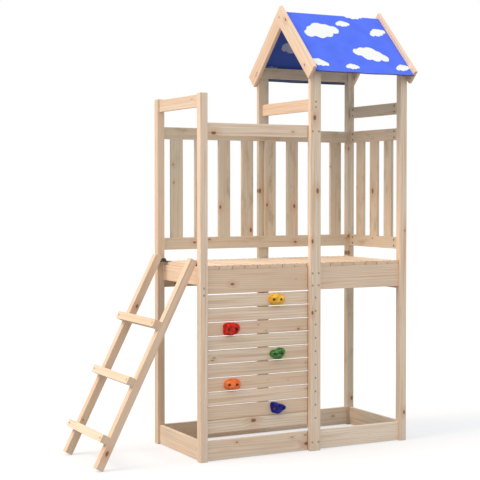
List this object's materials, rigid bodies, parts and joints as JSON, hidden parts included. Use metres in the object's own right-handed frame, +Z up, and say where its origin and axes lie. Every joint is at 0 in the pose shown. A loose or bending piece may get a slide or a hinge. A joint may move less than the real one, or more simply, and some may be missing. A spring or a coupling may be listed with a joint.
{
  "type": "climbing frame",
  "caption": "Raised wooden play deck on posts with a leaning ladder, a boarded climbing wall with coloured holds, slatted guards and a small tower under a pitched cloth roof.",
  "frame": {"origin": "middle of the whole plan, from the ladder's feet to the right gable, at ground level", "axes": "+X along the deck from the ladder to the tower, +Y from the climbing wall to the back guard, +Z up"},
  "size_m": [1.5992, 0.636, 2.0953],
  "materials": {
    "pine": "planed, untreated pine",
    "roof_cloth": "printed woven cloth",
    "yellow_plastic": "moulded",
    "red_plastic": "moulded",
    "green_plastic": "moulded",
    "orange_plastic": "moulded",
    "blue_plastic": "moulded",
    "zinc_steel": "zinc plated",
    "dark_steel": "dark coated"
  },
  "bodies": {
    "root": {"front_left_post": "pine", "back_left_post": "pine", "front_right_post": "pine", "back_right_post": "pine", "front_middle_upright": "pine", "back_middle_upright": "pine", "front_left_kerb": "pine", "front_right_kerb": "pine", "back_left_kerb": "pine", "back_right_kerb": "pine", "left_end_kerb": "pine", "right_end_kerb": "pine", "front_left_beam": "pine", "front_right_beam": "pine", "back_left_beam": "pine", "back_right_beam": "pine", "left_end_beam": "pine", "right_end_beam": "pine", "deck_planks": "pine", "wall_board_1": "pine", "wall_board_2": "pine", "wall_board_3": "pine", "wall_board_4": "pine", "wall_board_5": "pine", "wall_board_6": "pine", "wall_board_7": "pine", "wall_board_8": "pine", "wall_board_9": "pine", "wall_board_10": "pine", "wall_batten": "pine", "front_guard_rail": "pine", "back_upper_rail": "pine", "back_lower_rail": "pine", "back_slats": "pine", "right_upper_rail": "pine", "right_lower_rail": "pine", "right_slats": "pine", "ladder_end_board": "pine", "tower_left_board": "pine", "tower_right_board": "pine", "front_eave_board": "pine", "back_eave_board": "pine", "front_left_rafter": "pine", "back_left_rafter": "pine", "front_right_rafter": "pine", "back_right_rafter": "pine", "ridge_bar": "pine", "front_stringer": "pine", "back_stringer": "pine", "ladder_treads": "pine", "roof_cloth": "roof_cloth", "yellow_hold": "yellow_plastic", "red_hold": "red_plastic", "green_hold": "green_plastic", "orange_hold": "orange_plastic", "blue_hold": "blue_plastic", "frame_screws": "zinc_steel", "deck_screws": "zinc_steel", "hold_bolts": "zinc_steel", "ladder_brackets": "dark_steel"}
  },
  "joints": []
}
